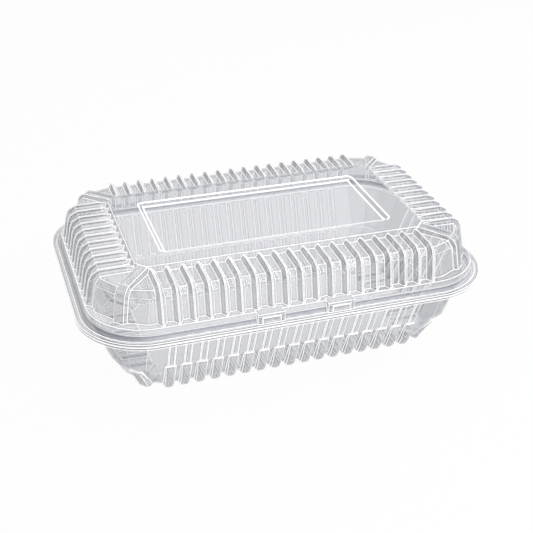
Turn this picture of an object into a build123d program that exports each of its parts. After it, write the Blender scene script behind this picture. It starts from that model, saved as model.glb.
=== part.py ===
from build123d import *
from math import cos, hypot, radians, sin
import os

# Clear plastic food box with a hinged lid: a fluted tray and a fluted lid, joined by a fold at the back.
# X runs along the long side, the front is at -Y, and the tray stands on z = 0.

# Sheet and clearances
sheet = 0.5
mating_gap = 0.1
overrun = 1.0
flute_seat = 0.15

# How far the inner side of a slope stands in from the outer one, for each unit of sheet
flute_side_share = 1.2
flute_crest_share = 0.6
panel_side_share = 0.4
bead_side_share = 0.75

# Heights
parting_height = 47.0
total_height = 75.0

# Rim, given at its outer edge
rim_half_length = 119.0
rim_half_depth = 79.0
rim_corner_radius = 38.0
rim_flange_width = 2.6
rim_edge_drop = 1.7
rim_skirt_rise = 5.6
rim_skirt_run = 3.2

# Bead around the tray's rim, which seats inside the lid's skirt
bead_rise = 4.0
bead_width = 3.2
bead_slope_run = 1.1
bead_clearance = 1.0

# Fold along the back
fold_strip_width = 4.0
fold_strip_half_length = 85.0

# Lid: half sizes of the deck, then run and drop of each stretch of its side, going outwards
deck_half_length = 85.0
deck_half_depth = 44.5
deck_corner = {"along": 5.5, "near": (3.7, 2.0), "far": (1.8, 4.0), "across": 6.0}
deck_bevel_run = 1.8
deck_bevel_drop = 3.1
lid_shoulder_run = 17.2
lid_shoulder_drop = 0.3
lid_bevel_run = 2.6
lid_bevel_drop = 3.4
lid_wall_run = 2.9

# Recessed panel of the deck
panel_half_length = 68.5
panel_half_depth = 31.0
panel_depth = 2.0
panel_bevel = 2.8
panel_corner_radius = 3.5

# Tray: half sizes of the floor, then run and rise of each stretch of its side, going outwards
floor_half_length = 76.0
floor_half_depth = 36.0
floor_corner = {"along": 6.0, "near": (4.0, 2.0), "far": (2.0, 4.0), "across": 6.0}
floor_bevel_run = 1.4
floor_bevel_rise = 2.8
tray_shoulder_run = 15.6
tray_shoulder_rise = 0.4
tray_bevel_run = 7.5
tray_bevel_rise = 16.8
tray_step_run = 0.8
tray_step_rise = 0.5
tray_wall_run = 10.2

# Corners: cut along the long side, two nose points, cut along the short side
lid_corner = {"along": 23.0, "near": (13.0, 3.5), "far": (6.5, 9.5), "across": 19.5}
lid_corner_tuck = 0.29
tray_low_corner = {"along": 19.0, "near": (11.5, 3.2), "far": (6.3, 8.2), "across": 17.0}
tray_knee_corner = {"along": 15.0, "near": (7.5, 3.5), "far": (3.0, 9.0), "across": 16.5}
tray_top_corner = {"along": 26.0, "near": (14.0, 6.0), "far": (7.0, 12.5), "across": 26.0}

# Flutes of the lid, and of the tray's lower shoulder
lid_flute_pitch_along = 8.6
lid_flutes_along = 19
lid_flute_pitch_across = 7.9
lid_flutes_across = 11
tray_flute_pitch = 9.0
tray_flutes_along = 17
tray_flutes_across = 7
flute_half_width = 2.3
flute_half_width_low = 2.7
flute_half_crest = 0.45
flute_start_run = 0.4
flute_start_height = 1.9
flute_full_run = 5.0
lid_flute_height = 3.1
lid_flute_turn_height = 3.9
lid_flute_wall_height = 3.5
tray_flute_half_width = 3.2
tray_flute_half_crest = 1.0
tray_flute_roundness = 0.76
tray_flute_buried_run = 3.0
tray_flute_buried_depth = 0.3
tray_flute_turn_height = 2.7
tray_flute_side_height = 2.4
tray_flute_side_run = 1.5
tray_flute_end_height = 0.8

# Low pleats up the tray's wall
pleat_half_width = 2.1
pleat_half_crest = 1.6
pleat_height = 0.7
pleat_margin = 0.6

# Ridges down the corners, which key one box on the next in a stack
ridge_half_width = 4.2
ridge_half_crest = 3.0
ridge_height = 2.2
ridge_turn_height = 2.5
ridge_angle = 47.0
lid_ridge_run = 20.5
lid_ridge_start_height = 3.0
tray_ridge_run = 20.0
tray_ridge_clear_run = 7.0
tray_ridge_side_run = 10.0
tray_ridge_side_rise = 13.2
tray_ridge_end_height = 0.6

# Lean of a flute's crest from straight up, along its path
turn_tilt = 50.0
wall_tilt = 78.0
down_tilt = 180.0
low_turn_tilt = 158.0
low_side_tilt = 114.0
ridge_turn_tilt = 153.0
ridge_side_tilt = 127.0

# Press tabs at the front of the lid's rim
tab_spacing = 40.0
tab_length = 15.5
tab_reach = 1.0
tab_rise = 6.0
tab_back = 2.0
button_length = 10.4
button_rise = 3.6
button_height = 51.0
button_depth = 0.5

# Worked out from the sizes above
rim_centre_x = rim_half_length - rim_corner_radius
rim_centre_y = rim_half_depth - rim_corner_radius
skirt_foot_half_depth = rim_half_depth - rim_flange_width
skirt_top_half_depth = skirt_foot_half_depth - rim_skirt_run
lid_underside = parting_height + mating_gap / 2
tray_topside = parting_height - mating_gap / 2
flange_top = lid_underside + rim_edge_drop
ledge_height = flange_top + rim_skirt_rise
lid_valley_height = total_height - deck_bevel_drop
lid_shoulder_height = lid_valley_height - lid_shoulder_drop
tray_low_height = floor_bevel_rise + tray_shoulder_rise
tray_knee_height = tray_low_height + tray_bevel_rise
tray_wall_top = tray_topside - sheet / 2
bead_foot_half_depth = skirt_foot_half_depth - sheet - bead_clearance
bead_wall = bead_side_share * sheet


def outline(half_length, half_depth, corner, tuck=0.0):
    # Closed outline whose corners are each taken off by three straight cuts, pulled in by the tuck.
    quarter = [
        (half_length, half_depth - corner["across"] - tuck),
        (half_length - corner["far"][0] - tuck, half_depth - corner["far"][1] - tuck),
        (half_length - corner["near"][0] - tuck, half_depth - corner["near"][1] - tuck),
        (half_length - corner["along"] - tuck, half_depth),
    ]
    left_back = [(-x, y) for x, y in reversed(quarter)]
    left_front = [(-x, -y) for x, y in quarter]
    right_front = [(x, -y) for x, y in reversed(quarter)]
    return quarter + left_back + left_front + right_front


def outline_face(points, height):
    with BuildSketch(Plane.XY.offset(height)) as face:
        with BuildLine():
            Polyline(*points, close=True)
        make_face()
    return face.sketch


def rim_face(half_depth, height):
    # The rim's rounded outline, brought in alike on every side.
    radius = half_depth - rim_centre_y
    with BuildSketch(Plane.XY.offset(height)) as face:
        RectangleRounded(2 * (rim_centre_x + radius), 2 * half_depth, radius)
    return face.sketch


def panel_face(inset, shrink, height):
    with BuildSketch(Plane.XY.offset(height)) as face:
        RectangleRounded(
            2 * (panel_half_length + inset - shrink),
            2 * (panel_half_depth + inset - shrink),
            panel_corner_radius,
        )
    return face.sketch


def stack(faces):
    # Solid through a row of outlines, straight from each to the next.
    with BuildPart() as body:
        for lower, upper in zip(faces, faces[1:]):
            loft([lower, upper], ruled=True)
    return body.part


def rim_ring(outer_foot, outer_top, inner_foot, inner_top, bottom, top):
    # Ring that follows the rim, given by the half depths of its two walls at foot and top.
    with BuildPart() as ring:
        loft([rim_face(outer_foot, bottom), rim_face(outer_top, top)], ruled=True)
        loft([rim_face(inner_foot, bottom), rim_face(inner_top, top)], ruled=True, mode=Mode.SUBTRACT)
    return ring.part


def wedge_section(run, rise, tilt, half_width, half_crest, height, sink, roundness):
    # Section of a flute across its path, which runs outwards along -Y.
    # Its slopes start just under the path, and its foot goes straight down from there into the sheet.
    # With a roundness, each slope bulges through a point that far out from its lower inner corner.
    lean = radians(tilt)
    plane = Plane(origin=(0, -run, rise), x_dir=(1, 0, 0), z_dir=(0, -cos(lean), -sin(lean)))
    right_side = [(half_width, -sink), (half_width, -flute_seat), (half_crest, height)]
    if roundness:
        bulge = (half_crest + roundness * (half_width - half_crest), roundness * height)
        right_side.insert(-1, bulge)
    left_side = [(-x, y) for x, y in reversed(right_side)]
    with BuildSketch(plane) as section:
        with BuildLine():
            Polyline(*right_side, *left_side, close=True)
        make_face()
    return section.sketch


def wedge(stations, inset, roundness=0.0):
    # Flute through its stations of run, rise, tilt, half width, half crest and height.
    # An inset gives the hollow behind the sheet, with its slopes one sheet in from the outer ones.
    sections = []
    for run, rise, tilt, half_width, half_crest, height in stations:
        width = half_width - flute_side_share * inset
        crest = half_crest - flute_crest_share * inset
        sections.append(
            wedge_section(run, rise, tilt, width, crest, height - inset, overrun + inset, roundness)
        )
    with BuildPart() as flute:
        loft(sections, ruled=True)
    return flute.part


def pulled_back(end, before, step):
    # The end station of a flute, brought back along the path to leave a closed end.
    run, rise, *section = end
    run_back = before[0] - run
    rise_back = before[1] - rise
    share = step / hypot(run_back, rise_back)
    return (run + share * run_back, rise + share * rise_back, *section)


def capped(stations, step):
    # The stations of a flute with both of its ends brought in.
    first = pulled_back(stations[0], stations[1], step)
    last = pulled_back(stations[-1], stations[-2], step)
    return [first, *stations[1:-1], last]


def side_places(half_length, half_depth, pitch_along, count_along, pitch_across, count_across):
    # Places round the four sides, each turned so that -Y points outwards.
    places = []
    for index in range(count_along):
        x = (index - (count_along - 1) / 2) * pitch_along
        places.append(Location((x, -half_depth, 0), (0, 0, 0)))
        places.append(Location((x, half_depth, 0), (0, 0, 180)))
    for index in range(count_across):
        y = (index - (count_across - 1) / 2) * pitch_across
        places.append(Location((half_length, y, 0), (0, 0, 90)))
        places.append(Location((-half_length, y, 0), (0, 0, -90)))
    return places


def corner_places(half_length, half_depth, corner, run):
    # Places at the inner ends of the four corner ridges, each turned so that -Y points outwards.
    nose_x = half_length - (corner["near"][0] + corner["far"][0]) / 2
    nose_y = half_depth - (corner["near"][1] + corner["far"][1]) / 2
    x = nose_x - run * cos(radians(ridge_angle))
    y = nose_y - run * sin(radians(ridge_angle))
    return [
        Location((x, y, 0), (0, 0, 90 + ridge_angle)),
        Location((-x, y, 0), (0, 0, 270 - ridge_angle)),
        Location((-x, -y, 0), (0, 0, ridge_angle - 90)),
        Location((x, -y, 0), (0, 0, 90 - ridge_angle)),
    ]


def lid_outlines(inset):
    # Outlines of the lid from the deck down to the foot of its wall, sunk a little into the rim.
    length = deck_half_length - inset
    depth = deck_half_depth - inset
    low_length = length + deck_bevel_run
    low_depth = depth + deck_bevel_run
    side_length = low_length + lid_shoulder_run
    side_depth = low_depth + lid_shoulder_run
    foot_run = lid_bevel_run + lid_wall_run
    wall_top = outline(
        side_length + lid_bevel_run, side_depth + lid_bevel_run, lid_corner, lid_corner_tuck * lid_bevel_run
    )
    wall_foot = outline(side_length + foot_run, side_depth + foot_run, lid_corner, lid_corner_tuck * foot_run)
    return [
        outline_face(outline(length, depth, deck_corner), total_height - inset),
        outline_face(outline(low_length, low_depth, deck_corner), lid_valley_height - inset),
        outline_face(outline(side_length, side_depth, lid_corner), lid_shoulder_height - inset),
        outline_face(wall_top, lid_shoulder_height - lid_bevel_drop - inset),
        outline_face(wall_foot, ledge_height - overrun - inset),
    ]


def lid_flute(inset):
    # From inside the deck's bevel, out over the shoulder and down the wall.
    edge_run = deck_bevel_run + lid_shoulder_run
    turn_run = edge_run + lid_bevel_run / 2
    turn_height = lid_shoulder_height - lid_bevel_drop / 2
    wall_run = edge_run + lid_bevel_run
    wall_height = lid_shoulder_height - lid_bevel_drop
    foot_run = wall_run + lid_wall_run
    foot_height = ledge_height - overrun
    high, low, crest = flute_half_width, flute_half_width_low, flute_half_crest
    stations = [
        (flute_start_run, lid_valley_height, 0, high, crest, flute_start_height),
        (flute_full_run, lid_valley_height, 0, high, crest, lid_flute_height - lid_shoulder_drop),
        (edge_run, lid_shoulder_height, 0, high, crest, lid_flute_height),
        (turn_run, turn_height, turn_tilt, high, crest, lid_flute_turn_height),
        (wall_run, wall_height, wall_tilt, low, crest, lid_flute_wall_height),
        (foot_run, foot_height, wall_tilt, low, crest, lid_flute_wall_height),
    ]
    return wedge(stations, inset)


def lid_ridge(inset):
    turn_run = lid_ridge_run + lid_bevel_run / 2
    turn_height = lid_shoulder_height - lid_bevel_drop / 2
    wall_run = lid_ridge_run + lid_bevel_run
    wall_height = lid_shoulder_height - lid_bevel_drop
    foot_run = wall_run + lid_wall_run
    foot_height = ledge_height - overrun
    wide, crest = ridge_half_width, ridge_half_crest
    stations = [
        (0, lid_valley_height, 0, wide, crest, lid_ridge_start_height),
        (lid_ridge_run, lid_shoulder_height, 0, wide, crest, ridge_height),
        (turn_run, turn_height, turn_tilt, wide, crest, ridge_turn_height),
        (wall_run, wall_height, wall_tilt, wide, crest, ridge_height),
        (foot_run, foot_height, wall_tilt, wide, crest, ridge_height),
    ]
    return wedge(stations, inset)


def lid_block(inset):
    # The lid filled solid; with an inset, the space inside its sheet.
    flute = lid_flute(inset)
    ridge = lid_ridge(inset)
    flute_places = side_places(
        deck_half_length,
        deck_half_depth,
        lid_flute_pitch_along,
        lid_flutes_along,
        lid_flute_pitch_across,
        lid_flutes_across,
    )
    side_run = deck_bevel_run + lid_shoulder_run
    ridge_places = corner_places(
        deck_half_length + side_run, deck_half_depth + side_run, lid_corner, lid_ridge_run
    )
    skirt = stack([
        rim_face(skirt_foot_half_depth - inset, flange_top - inset),
        rim_face(skirt_top_half_depth - inset, ledge_height - inset),
    ])
    tab_face = skirt_foot_half_depth + tab_reach - inset
    tab_depth = tab_face - skirt_top_half_depth + tab_back
    button_face = tab_face + button_depth
    hanging = (Align.CENTER, Align.CENTER, Align.MAX)
    panel_inset = panel_side_share * inset
    panel = stack([
        panel_face(panel_inset, panel_bevel, total_height - panel_depth - inset),
        panel_face(panel_inset, 0, total_height - inset),
    ])
    with BuildPart() as block:
        add(stack(lid_outlines(inset)))
        add([flute.moved(place) for place in flute_places])
        add([ridge.moved(place) for place in ridge_places])
        add(skirt)
        extrude(rim_face(rim_half_depth - inset, flange_top - inset), amount=-rim_edge_drop - inset)
        with Locations((0, -tab_face + tab_depth / 2, flange_top + tab_rise - inset)):
            with GridLocations(tab_spacing, 0, 2, 1):
                Box(tab_length - 2 * inset, tab_depth, tab_rise + sheet, align=hanging)
        with Locations((0, -button_face + tab_back / 2, button_height)):
            with GridLocations(tab_spacing, 0, 2, 1):
                Box(button_length - 2 * inset, tab_back, button_rise - 2 * inset)
        add(panel, mode=Mode.SUBTRACT)
    return block.part


def tray_outlines(inset):
    # Outlines of the tray from the floor up to the top of its wall.
    length = floor_half_length - inset
    depth = floor_half_depth - inset
    low_run = floor_bevel_run + tray_shoulder_run
    knee_run = low_run + tray_bevel_run
    step_run = knee_run + tray_step_run
    top_run = step_run + tray_wall_run
    step_height = tray_knee_height + tray_step_rise
    return [
        outline_face(outline(length, depth, floor_corner), inset),
        outline_face(
            outline(length + floor_bevel_run, depth + floor_bevel_run, floor_corner), floor_bevel_rise + inset
        ),
        outline_face(outline(length + low_run, depth + low_run, tray_low_corner), tray_low_height + inset),
        outline_face(outline(length + knee_run, depth + knee_run, tray_knee_corner), tray_knee_height + inset),
        outline_face(outline(length + step_run, depth + step_run, tray_knee_corner), step_height + inset),
        outline_face(outline(length + top_run, depth + top_run, tray_top_corner), tray_wall_top + inset),
    ]


def tray_flute(inset):
    # From inside the floor, out under the shoulder and up to the knee.
    start_run = floor_bevel_run
    edge_run = floor_bevel_run + tray_shoulder_run
    before_edge = edge_run - tray_flute_side_run
    side_run = edge_run + tray_flute_side_run
    side_height = tray_low_height + tray_flute_side_run * tray_bevel_rise / tray_bevel_run
    end_run = edge_run + tray_bevel_run
    wide, crest = tray_flute_half_width, tray_flute_half_crest
    buried = floor_bevel_rise - tray_flute_buried_depth
    stations = [
        (-tray_flute_buried_run, floor_bevel_rise, down_tilt, wide, crest, buried),
        (start_run, floor_bevel_rise, down_tilt, wide, crest, floor_bevel_rise),
        (before_edge, tray_low_height, down_tilt, wide, crest, tray_low_height),
        (edge_run, tray_low_height, low_turn_tilt, wide, crest, tray_flute_turn_height),
        (side_run, side_height, low_side_tilt, wide, crest, tray_flute_side_height),
        (end_run, tray_knee_height, low_side_tilt, wide, crest, tray_flute_end_height),
    ]
    return wedge(capped(stations, inset), inset, tray_flute_roundness)


def tray_pleat(inset):
    # Low pleat up the wall, short of the knee and of the rim.
    step_run = floor_bevel_run + tray_shoulder_run + tray_bevel_run + tray_step_run
    step_height = tray_knee_height + tray_step_rise
    slope = tray_wall_run / (tray_wall_top - step_height)
    top_height = tray_wall_top - pleat_margin
    top_run = step_run + slope * (top_height - step_height)
    low_height = step_height + pleat_margin
    low_run = step_run + slope * pleat_margin
    stations = [
        (low_run, low_height, low_side_tilt, pleat_half_width, pleat_half_crest, pleat_height),
        (top_run, top_height, low_side_tilt, pleat_half_width, pleat_half_crest, pleat_height),
    ]
    return wedge(capped(stations, inset), inset)


def tray_ridge(inset):
    wide, crest = ridge_half_width, ridge_half_crest
    buried = floor_bevel_rise - tray_flute_buried_depth
    end_run = tray_ridge_run + tray_ridge_side_run
    end_height = tray_low_height + tray_ridge_side_rise
    before_edge = tray_ridge_run - tray_flute_side_run
    stations = [
        (0, floor_bevel_rise, down_tilt, wide, crest, buried),
        (tray_ridge_clear_run, floor_bevel_rise, down_tilt, wide, crest, floor_bevel_rise),
        (before_edge, tray_low_height, down_tilt, wide, crest, tray_low_height),
        (tray_ridge_run, tray_low_height, ridge_turn_tilt, wide, crest, tray_low_height),
        (end_run, end_height, ridge_side_tilt, wide, crest, tray_ridge_end_height),
    ]
    return wedge(capped(stations, inset), inset)


def tray_block(inset):
    # The tray filled solid; with an inset, the space inside its sheet.
    flute = tray_flute(inset)
    pleat = tray_pleat(inset)
    ridge = tray_ridge(inset)
    flute_places = side_places(
        floor_half_length,
        floor_half_depth,
        tray_flute_pitch,
        tray_flutes_along,
        tray_flute_pitch,
        tray_flutes_across,
    )
    low_run = floor_bevel_run + tray_shoulder_run
    ridge_places = corner_places(
        floor_half_length + low_run, floor_half_depth + low_run, tray_low_corner, tray_ridge_run
    )
    with BuildPart() as block:
        add(stack(tray_outlines(inset)))
        add([flute.moved(place) for place in flute_places])
        add([pleat.moved(place) for place in flute_places])
        add([ridge.moved(place) for place in ridge_places])
    return block.part


# Lid: the filled shape, the fold strip at the back, and the space inside taken out
with BuildPart() as lid:
    add(lid_block(0))
    with Locations((0, rim_half_depth - sheet, lid_underside)):
        Box(
            2 * fold_strip_half_length,
            fold_strip_width + sheet - mating_gap / 2,
            sheet,
            align=(Align.CENTER, Align.MIN, Align.MIN),
        )
    add(lid_block(sheet), mode=Mode.SUBTRACT)

# Base: the filled tray with its flange, turned-down edge, bead and fold strip, then the space inside
with BuildPart() as base:
    add(tray_block(0))
    extrude(rim_face(rim_half_depth, tray_topside), amount=-sheet)
    add(rim_ring(
        rim_half_depth,
        rim_half_depth,
        rim_half_depth - sheet,
        rim_half_depth - sheet,
        tray_topside - rim_edge_drop,
        tray_wall_top,
    ))
    add(rim_ring(
        bead_foot_half_depth,
        bead_foot_half_depth - bead_slope_run,
        bead_foot_half_depth - bead_width,
        bead_foot_half_depth - bead_width + bead_slope_run,
        tray_topside,
        tray_topside + bead_rise,
    ))
    add(
        rim_ring(
            bead_foot_half_depth - bead_wall,
            bead_foot_half_depth - bead_slope_run - bead_wall,
            bead_foot_half_depth - bead_width + bead_wall,
            bead_foot_half_depth - bead_width + bead_slope_run + bead_wall,
            tray_topside - sheet,
            tray_topside - sheet + bead_rise,
        ),
        mode=Mode.SUBTRACT,
    )
    with Locations((0, rim_half_depth - sheet, tray_topside)):
        Box(
            2 * fold_strip_half_length,
            fold_strip_width + sheet - mating_gap / 2,
            sheet,
            align=(Align.CENTER, Align.MIN, Align.MAX),
        )
    add(tray_block(sheet), mode=Mode.SUBTRACT)

# Finished pieces
os.makedirs("parts", exist_ok=True)
lid.part.label = "lid"
export_step(lid.part, "parts/lid.step")
base.part.label = "base"
export_step(base.part, "parts/base.step")
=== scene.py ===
import math

import bpy
from bpy.props import FloatProperty, FloatVectorProperty, IntProperty
from mathutils import Matrix, Vector

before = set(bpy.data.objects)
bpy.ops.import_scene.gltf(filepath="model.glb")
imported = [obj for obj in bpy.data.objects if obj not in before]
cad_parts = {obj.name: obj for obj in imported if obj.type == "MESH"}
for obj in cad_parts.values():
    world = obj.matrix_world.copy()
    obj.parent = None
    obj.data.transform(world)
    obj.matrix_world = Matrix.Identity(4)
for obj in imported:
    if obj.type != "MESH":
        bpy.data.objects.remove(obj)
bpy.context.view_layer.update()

# Clear formed cake container: the finish of its tray and lid, with painted highlight lines along
# the folds and painted shade on turned faces, and the studio around them.

bl_info = {
    "name": "Clear cake container",
    "version": (1, 0, 0),
    "blender": (4, 5, 0),
    "location": "View3D > Sidebar > Container",
    "description": "Finishes a clear formed cake container and sets its studio",
    "category": "Object",
}

MILLIMETRE = 0.001
WHITE = (1.0, 1.0, 1.0, 1.0)

# Directions of the part's own frame
ALONG = (1.0, 0.0, 0.0)
ACROSS = (0.0, 1.0, 0.0)
UP = (0.0, 0.0, 1.0)

# Rays that each fold's rounding is averaged from, for the painted highlight and dark lines along
# the folds
FOLD_SAMPLES = 12
FLANK_SAMPLES = 8

# How sharply the extra cover gathers where the sheet is seen edge-on
EDGE_POWER = 4.0

# Place of each lamp, and the side of its square, in metres
FRONT_LAMP = ((0.35, -0.82, 0.83), 0.5)
SIDE_LAMP = ((1.1, 0.15, 0.7), 0.6)
BACK_LAMP = ((-0.2, 0.6, 1.2), 0.7)

# Camera: width of its sensor in millimetres, and nearest distance that it sees in metres
SENSOR_WIDTH = 36.0
NEAREST_SEEN = 0.01


class Wire:
    """A shader socket that can be written with in sums, so that maths on it adds its own nodes."""

    def __init__(self, tree, socket):
        self.tree = tree
        self.socket = socket

    def node(self, kind, values=(), settings=(), output=0):
        """Adds any node: its settings first, then the values or wires of its inputs."""
        made = self.tree.nodes.new(kind)
        for name, value in dict(settings).items():
            setattr(made, name, value)
        for name, value in dict(values).items():
            if isinstance(value, Wire):
                self.tree.links.new(value.socket, made.inputs[name])
            else:
                made.inputs[name].default_value = value
        return Wire(self.tree, made.outputs[output])

    def maths(self, operation, *inputs):
        return self.node("ShaderNodeMath", dict(enumerate(inputs)), {"operation": operation})

    def __add__(self, other):
        return self.maths("ADD", self, other)

    def __radd__(self, other):
        return self.maths("ADD", other, self)

    def __sub__(self, other):
        return self.maths("SUBTRACT", self, other)

    def __rsub__(self, other):
        return self.maths("SUBTRACT", other, self)

    def __mul__(self, other):
        return self.maths("MULTIPLY", self, other)

    def __rmul__(self, other):
        return self.maths("MULTIPLY", other, self)

    def __abs__(self):
        return self.maths("ABSOLUTE", self)

    def clamped(self, low, high):
        return self.maths("MAXIMUM", self.maths("MINIMUM", self, high), low)

    def raised(self, power):
        return self.maths("POWER", self, power)

    def dot(self, other):
        """Share of this direction that lies along another one."""
        return self.node(
            "ShaderNodeVectorMath",
            {0: self, 1: other},
            {"operation": "DOT_PRODUCT"},
            "Value",
        )

    def blend(self, low, high):
        """Colour between two colours, by this wire."""
        return self.node(
            "ShaderNodeMix",
            {"Factor": self, "A": low, "B": high},
            {"data_type": "RGBA"},
            "Result",
        )


class SheetSettings(bpy.types.PropertyGroup):
    """Look of the clear formed sheet, with its painted fold highlights and painted shade."""

    shade: FloatVectorProperty(
        name="Shade",
        description="Colour of the sheet's faces",
        subtype="COLOR",
        size=4,
        default=(0.5, 0.515, 0.59, 1.0),
    )
    # Painted highlight: white colour drawn along every formed fold
    painted_fold_highlight: FloatVectorProperty(
        name="Fold shade",
        description="Colour of the bright line along every formed fold",
        subtype="COLOR",
        size=4,
        default=(1.0, 1.0, 1.0, 1.0),
    )
    # Painted shade: dark colour drawn beside each fold, standing in for the darkening that
    # refraction gives there
    painted_flank_shade: FloatVectorProperty(
        name="Flank shade",
        description="Colour of the dark line beside a fold",
        subtype="COLOR",
        size=4,
        default=(0.05, 0.055, 0.07, 1.0),
    )
    # Painted shade: darker colour for faces turned to a side or to the floor
    painted_turn_shade: FloatVectorProperty(
        name="Turned shade",
        description="Colour of the faces that are turned to a side or to the floor",
        subtype="COLOR",
        size=4,
        default=(0.2, 0.21, 0.25, 1.0),
    )
    # turn_cover, turn_gain, left_gain and under_gain set the strength of that painted shade
    turn_cover: FloatProperty(
        name="Turned cover",
        description="How much more is hidden by a face that is turned to a side or to the floor",
        min=0.0,
        max=1.0,
        default=0.12,
    )
    turn_gain: FloatProperty(
        name="Turned gain",
        description="Strength of the turned shade, on either side",
        min=0.0,
        default=0.45,
    )
    left_gain: FloatProperty(
        name="Left gain",
        description="Extra strength of the turned shade on faces that are turned to the left",
        min=0.0,
        default=0.5,
    )
    under_gain: FloatProperty(
        name="Under gain",
        description="Strength of the turned shade on faces that are turned to the floor",
        min=0.0,
        default=1.3,
    )
    # Emission colour of faces away from the painted fold highlights
    no_glow: FloatVectorProperty(
        name="No glow",
        description="Colour of a face's own light, away from the folds",
        subtype="COLOR",
        size=4,
        default=(0.0, 0.0, 0.0, 1.0),
    )
    face_cover: FloatProperty(
        name="Face cover",
        description="How much of what is behind a face is hidden by it",
        min=0.0,
        max=1.0,
        default=0.14,
    )
    edge_cover: FloatProperty(
        name="Edge cover",
        description="How much more is hidden where the sheet is seen edge-on",
        min=0.0,
        max=1.0,
        default=0.35,
    )
    # Painted highlight: how opaque the white line drawn along each fold is
    fold_cover: FloatProperty(
        name="Fold cover",
        description="How much is hidden along a formed fold",
        min=0.0,
        max=1.0,
        default=0.55,
    )
    # Painted shade: how opaque the dark line drawn beside each fold is
    flank_cover: FloatProperty(
        name="Flank cover",
        description="How much is hidden by the dark line beside a fold",
        min=0.0,
        max=1.0,
        default=0.22,
    )
    # Painted highlight: reach of the white line drawn along each fold
    fold_radius: FloatProperty(
        name="Fold radius",
        description="Reach of the bright line along a fold",
        unit="LENGTH",
        min=0.0,
        default=0.7 * MILLIMETRE,
    )
    # Painted shade: reach of the dark line drawn beside each fold
    flank_radius: FloatProperty(
        name="Flank radius",
        description="Reach of the dark line beside a fold",
        unit="LENGTH",
        min=0.0,
        default=1.5 * MILLIMETRE,
    )
    # Painted highlight: fold_start and fold_gain set where and how fast the white fold line
    # appears
    fold_start: FloatProperty(
        name="Fold start",
        description="Bend below which a fold stays as plain as the faces",
        min=0.0,
        default=0.003,
    )
    fold_gain: FloatProperty(
        name="Fold gain",
        description="How quickly a fold turns bright as it gets sharper",
        min=0.0,
        default=70.0,
    )
    # Painted highlight: emission strength that makes the white fold lines glow, though they are no
    # lamp
    fold_highlight_glow: FloatProperty(
        name="Fold glow",
        description="Brightness that a fold gathers from the sheet around it",
        min=0.0,
        default=0.5,
    )
    # Painted shade: how fast the dark line beside each fold appears
    flank_gain: FloatProperty(
        name="Flank gain",
        description="How quickly the line beside a fold turns dark",
        min=0.0,
        default=40.0,
    )
    refraction: FloatProperty(
        name="Refraction",
        description="Refractive index of the sheet",
        min=1.0,
        default=1.57,
    )
    shadow_loss: FloatProperty(
        name="Shadow loss",
        description="Share of the cover that lets lamp light through",
        min=0.0,
        max=1.0,
        default=0.9,
    )
    roughness: FloatProperty(
        name="Roughness",
        description="Roughness of the glossy sheet",
        min=0.0,
        max=1.0,
        default=0.08,
    )
    # Place of the painted highlight lines drawn round the recessed panel
    panel_length: FloatProperty(
        name="Panel length",
        description="Length of the recessed panel, at the deck",
        unit="LENGTH",
        default=137 * MILLIMETRE,
    )
    panel_width: FloatProperty(
        name="Panel width",
        description="Width of the recessed panel, at the deck",
        unit="LENGTH",
        default=62 * MILLIMETRE,
    )
    panel_corner: FloatProperty(
        name="Panel corner",
        description="Corner radius of the recessed panel",
        unit="LENGTH",
        default=3.5 * MILLIMETRE,
    )
    panel_bevel: FloatProperty(
        name="Panel bevel",
        description="Distance between the two folds round the panel",
        unit="LENGTH",
        default=2.8 * MILLIMETRE,
    )
    panel_fold: FloatProperty(
        name="Panel fold",
        description="Half the width of the full brightness along the panel's folds",
        unit="LENGTH",
        default=0.25 * MILLIMETRE,
    )
    panel_level: FloatProperty(
        name="Panel level",
        description="Height above which the panel's folds are found",
        unit="LENGTH",
        default=72 * MILLIMETRE,
    )
    ripple_size: FloatProperty(
        name="Ripple size",
        description="Width of the faint ripples left by forming",
        unit="LENGTH",
        default=9 * MILLIMETRE,
    )
    ripple_depth: FloatProperty(
        name="Ripple depth",
        description="Depth of the faint ripples left by forming",
        unit="LENGTH",
        default=0.03 * MILLIMETRE,
    )


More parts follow.
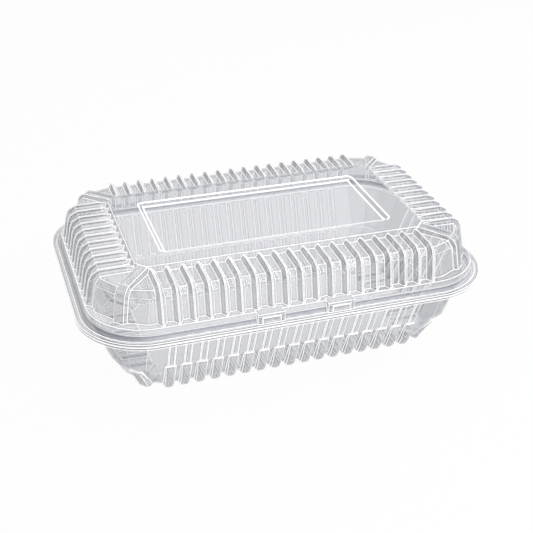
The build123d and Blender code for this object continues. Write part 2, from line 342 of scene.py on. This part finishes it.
class StageSettings(bpy.types.PropertyGroup):
    """Camera, lamps and floor."""

    azimuth: FloatProperty(
        name="Azimuth",
        description="Turn of the camera round the box, from straight in front",
        subtype="ANGLE",
        default=math.radians(-19.0),
    )
    elevation: FloatProperty(
        name="Elevation",
        description="Angle of the camera above the floor",
        subtype="ANGLE",
        default=math.radians(30.2),
    )
    roll: FloatProperty(
        name="Roll",
        description="Turn of the camera about its own line of sight",
        subtype="ANGLE",
        default=math.radians(1.03),
    )
    distance: FloatProperty(
        name="Distance",
        description="Distance from the camera to the point that it looks at",
        unit="LENGTH",
        default=622.1 * MILLIMETRE,
    )
    target: FloatVectorProperty(
        name="Target",
        description="Point that the camera looks at",
        subtype="XYZ",
        unit="LENGTH",
        size=3,
        default=(7.9 * MILLIMETRE, 14.2 * MILLIMETRE, 27.6 * MILLIMETRE),
    )
    focal_length: FloatProperty(
        name="Focal length",
        description="Focal length of the lens, in millimetres",
        default=67.08,
    )
    floor_size: FloatProperty(
        name="Floor size",
        description="Side of the square floor",
        unit="LENGTH",
        default=6.0,
    )
    floor_shade: FloatVectorProperty(
        name="Floor shade",
        description="Colour of the floor",
        subtype="COLOR",
        size=4,
        default=(0.92, 0.92, 0.92, 1.0),
    )
    floor_glow: FloatProperty(
        name="Floor glow",
        description="Share of plain white in the floor as it is seen",
        min=0.0,
        max=1.0,
        default=0.92,
    )
    sky: FloatProperty(
        name="Sky",
        description="Brightness of the plain surroundings",
        min=0.0,
        default=0.5,
    )
    front_power: FloatProperty(
        name="Front lamp",
        description="Power of the lamp in front, in watts",
        min=0.0,
        default=6.0,
    )
    side_power: FloatProperty(
        name="Side lamp",
        description="Power of the lamp on the right, in watts",
        min=0.0,
        default=3.5,
    )
    back_power: FloatProperty(
        name="Back lamp",
        description="Power of the lamp behind, in watts",
        min=0.0,
        default=3.0,
    )
    light_passes: IntProperty(
        name="Light passes",
        description="How many clear faces a line of sight may pass",
        min=8,
        default=64,
    )


def panel_line(place, settings):
    """How near a point of the deck is to the two folds round the recessed panel, where painted
    highlight lines are drawn.
    """
    radius = settings.panel_corner
    past_end = abs(place.dot(ALONG)) - (settings.panel_length / 2 - radius)
    past_side = abs(place.dot(ACROSS)) - (settings.panel_width / 2 - radius)
    squares = past_end.clamped(0.0, 1.0).raised(2.0) + past_side.clamped(0.0, 1.0).raised(2.0)
    inside = place.maths("MINIMUM", place.maths("MAXIMUM", past_end, past_side), 0.0)
    outside = squares.raised(0.5) + inside - radius
    nearest = place.maths("MINIMUM", abs(outside), abs(outside + settings.panel_bevel))
    on_deck = place.maths("GREATER_THAN", place.dot(UP), settings.panel_level)
    fade = (nearest - settings.panel_fold) * (1 / settings.panel_fold)
    return (1 - fade).clamped(0.0, 1.0) * on_deck


def clear_sheet(settings):
    """Glossy clear sheet: faintly toned faces with painted shade on those turned to a side or to
    the floor, a painted white highlight line along each formed fold, and a painted dark line
    beside it.
    """
    material = bpy.data.materials.new("clear_sheet")
    material.use_nodes = True
    tree = material.node_tree
    shader = tree.nodes["Principled BSDF"]
    start = Wire(tree, None)

    place = start.node("ShaderNodeTexCoord", output="Object")
    true_normal = start.node("ShaderNodeNewGeometry", output="True Normal")
    round_normal = start.node(
        "ShaderNodeBevel", {"Radius": settings.fold_radius}, {"samples": FOLD_SAMPLES}
    )
    wide_normal = start.node(
        "ShaderNodeBevel", {"Radius": settings.flank_radius}, {"samples": FLANK_SAMPLES}
    )

    # Painted white highlight line along each fold, and a painted dark line beside it
    bend = 1 - abs(round_normal.dot(true_normal))
    wide_bend = 1 - abs(wide_normal.dot(true_normal))
    formed = ((bend - settings.fold_start) * settings.fold_gain).clamped(0.0, 1.0)
    fold = start.maths("MAXIMUM", formed, panel_line(place, settings))
    flank = (wide_bend * settings.flank_gain).clamped(0.0, 1.0) * (1 - fold)

    # Painted shade: faces turned to either side, more so to the left, and faces turned to the
    # floor are darkened, standing in for darker surroundings that they would reflect
    facing = start.node("ShaderNodeTexCoord", output="Normal")
    sideways = facing.dot(ALONG)
    turned = abs(sideways) * settings.turn_gain
    leftward = (0 - sideways).clamped(0.0, 1.0) * settings.left_gain
    under = (0 - facing.dot(UP)).clamped(0.0, 1.0) * settings.under_gain
    away = (turned + leftward + under).clamped(0.0, 1.0)

    # Faint ripples left by forming
    ripple = start.node("ShaderNodeTexNoise", {"Vector": place, "Scale": 1 / settings.ripple_size})
    bumped = start.node(
        "ShaderNodeBump",
        {"Height": ripple, "Distance": settings.ripple_depth, "Normal": round_normal},
    )

    # How much of what is behind the sheet is hidden, more along the painted fold and flank lines
    # and on faces with painted shade; most lamp light passes through
    edge_facing = start.node("ShaderNodeLayerWeight", {"Blend": 0.5}, output="Facing")
    edge_on = edge_facing.raised(EDGE_POWER)
    in_shadow = start.node("ShaderNodeLightPath", output="Is Shadow Ray")

    whole = (
        settings.face_cover
        + edge_on * settings.edge_cover
        + fold * settings.fold_cover
        + flank * settings.flank_cover
        + away * settings.turn_cover
    )
    lit = 1 - in_shadow * settings.shadow_loss
    cover = (whole * lit).clamped(0.0, 1.0)

    # Painted shade on faces turned to a side or to the floor
    turned_painted_shade = away.blend(tuple(settings.shade), tuple(settings.painted_turn_shade))
    # Painted shade: dark line drawn beside each fold
    darkened = flank.blend(turned_painted_shade, tuple(settings.painted_flank_shade))
    # Painted highlight: folds are coloured white and made to glow
    shade = fold.blend(darkened, tuple(settings.painted_fold_highlight))
    glow = fold.blend(tuple(settings.no_glow), tuple(settings.painted_fold_highlight))
    shader.inputs["Roughness"].default_value = settings.roughness
    shader.inputs["IOR"].default_value = settings.refraction
    shader.inputs["Emission Strength"].default_value = settings.fold_highlight_glow
    wires = {"Base Color": shade, "Alpha": cover, "Emission Color": glow, "Normal": bumped}
    for name, wire in wires.items():
        tree.links.new(wire.socket, shader.inputs[name])
    return material


def dress(node, material):
    """Gives a node of the frame its finish."""
    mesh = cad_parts[node].data
    mesh.materials.clear()
    mesh.materials.append(material)


class CONTAINER_OT_finish_sheets(bpy.types.Operator):
    """Give the tray and the lid their clear glossy finish, with painted fold highlights and
    painted shade
    """

    bl_idname = "container.finish_sheets"
    bl_label = "Finish tray and lid"

    def execute(self, context):
        material = clear_sheet(context.scene.container_sheet)
        for node in ("base", "lid"):
            dress(node, material)
        return {"FINISHED"}


def seen_share(start):
    """One where a line of sight arrives, straight, mirrored or bent, and nought for the light."""
    seen = start.node("ShaderNodeLightPath", output="Is Camera Ray")
    mirrored = start.node("ShaderNodeLightPath", output="Is Glossy Ray")
    through = start.node("ShaderNodeLightPath", output="Is Transmission Ray")
    return (seen + mirrored + through).clamped(0.0, 1.0)


def plain_surroundings(strength):
    """Even pale surroundings that are seen as plain white."""
    world = bpy.data.worlds.new("studio")
    world.use_nodes = True
    tree = world.node_tree
    light = tree.nodes["Background"]
    light.inputs["Color"].default_value = WHITE
    light.inputs["Strength"].default_value = strength
    start = Wire(tree, None)
    white = start.node("ShaderNodeBackground", {"Color": WHITE, "Strength": 1.0})
    mixed = start.node(
        "ShaderNodeMixShader", {0: seen_share(start), 1: Wire(tree, light.outputs[0]), 2: white}
    )
    tree.links.new(mixed.socket, tree.nodes["World Output"].inputs["Surface"])
    return world


def floor_material(settings):
    """Pale floor that is seen nearly white, and still takes a shadow."""
    material = bpy.data.materials.new("studio_floor")
    material.use_nodes = True
    tree = material.node_tree
    shader = tree.nodes["Principled BSDF"]
    shader.inputs["Base Color"].default_value = settings.floor_shade
    shader.inputs["Roughness"].default_value = 1.0
    shader.inputs["Specular IOR Level"].default_value = 0.0
    start = Wire(tree, None)
    share = seen_share(start) * settings.floor_glow
    glow = start.node("ShaderNodeEmission", {"Color": WHITE, "Strength": 1.0})
    mixed = start.node(
        "ShaderNodeMixShader", {0: share, 1: Wire(tree, shader.outputs[0]), 2: glow}
    )
    tree.links.new(mixed.socket, tree.nodes["Material Output"].inputs["Surface"])
    return material


def add_lamp(name, power, place, size):
    """Large square lamp that faces the box."""
    bpy.ops.object.light_add(type="AREA", location=place)
    lamp = bpy.context.object
    lamp.name = name
    lamp.data.energy = power
    lamp.data.size = size
    lamp.rotation_euler = (-Vector(place)).to_track_quat("-Z", "Y").to_euler()


class CONTAINER_OT_set_stage(bpy.types.Operator):
    """Set the floor, lamps, surroundings and camera"""

    bl_idname = "container.set_stage"
    bl_label = "Set stage"

    def execute(self, context):
        settings = context.scene.container_stage
        bpy.ops.object.select_all(action="DESELECT")
        bpy.ops.mesh.primitive_plane_add(size=settings.floor_size)
        floor = context.object
        floor.name = "studio_floor"
        floor.data.materials.append(floor_material(settings))

        context.scene.world = plain_surroundings(settings.sky)

        add_lamp("front_lamp", settings.front_power, *FRONT_LAMP)
        add_lamp("side_lamp", settings.side_power, *SIDE_LAMP)
        add_lamp("back_lamp", settings.back_power, *BACK_LAMP)

        bpy.ops.object.camera_add()
        camera = context.object
        turn = (
            Matrix.Rotation(settings.azimuth, 4, "Z")
            @ Matrix.Rotation(math.radians(90) - settings.elevation, 4, "X")
            @ Matrix.Rotation(settings.roll, 4, "Z")
        )
        step_back = Matrix.Translation((0, 0, settings.distance))
        camera.matrix_world = Matrix.Translation(settings.target) @ turn @ step_back
        camera.data.lens = settings.focal_length
        camera.data.sensor_width = SENSOR_WIDTH
        camera.data.clip_start = NEAREST_SEEN
        context.scene.camera = camera

        context.scene.view_settings.view_transform = "Standard"
        context.scene.cycles.transparent_max_bounces = settings.light_passes
        return {"FINISHED"}


class CONTAINER_PT_panel(bpy.types.Panel):
    """Buttons for each step of the container"""

    bl_idname = "CONTAINER_PT_panel"
    bl_label = "Clear cake container"
    bl_space_type = "VIEW_3D"
    bl_region_type = "UI"
    bl_category = "Container"

    def draw(self, context):
        for step in STEPS:
            self.layout.operator(step.bl_idname)


STEPS = (CONTAINER_OT_finish_sheets, CONTAINER_OT_set_stage)
CLASSES = (SheetSettings, StageSettings, *STEPS, CONTAINER_PT_panel)


def register():
    for entry in CLASSES:
        bpy.utils.register_class(entry)
    bpy.types.Scene.container_sheet = bpy.props.PointerProperty(type=SheetSettings)
    bpy.types.Scene.container_stage = bpy.props.PointerProperty(type=StageSettings)


def unregister():
    del bpy.types.Scene.container_stage
    del bpy.types.Scene.container_sheet
    for entry in reversed(CLASSES):
        bpy.utils.unregister_class(entry)


def main():
    register()
    bpy.ops.container.finish_sheets()
    bpy.ops.container.set_stage()


if __name__ == "__main__":
    main()
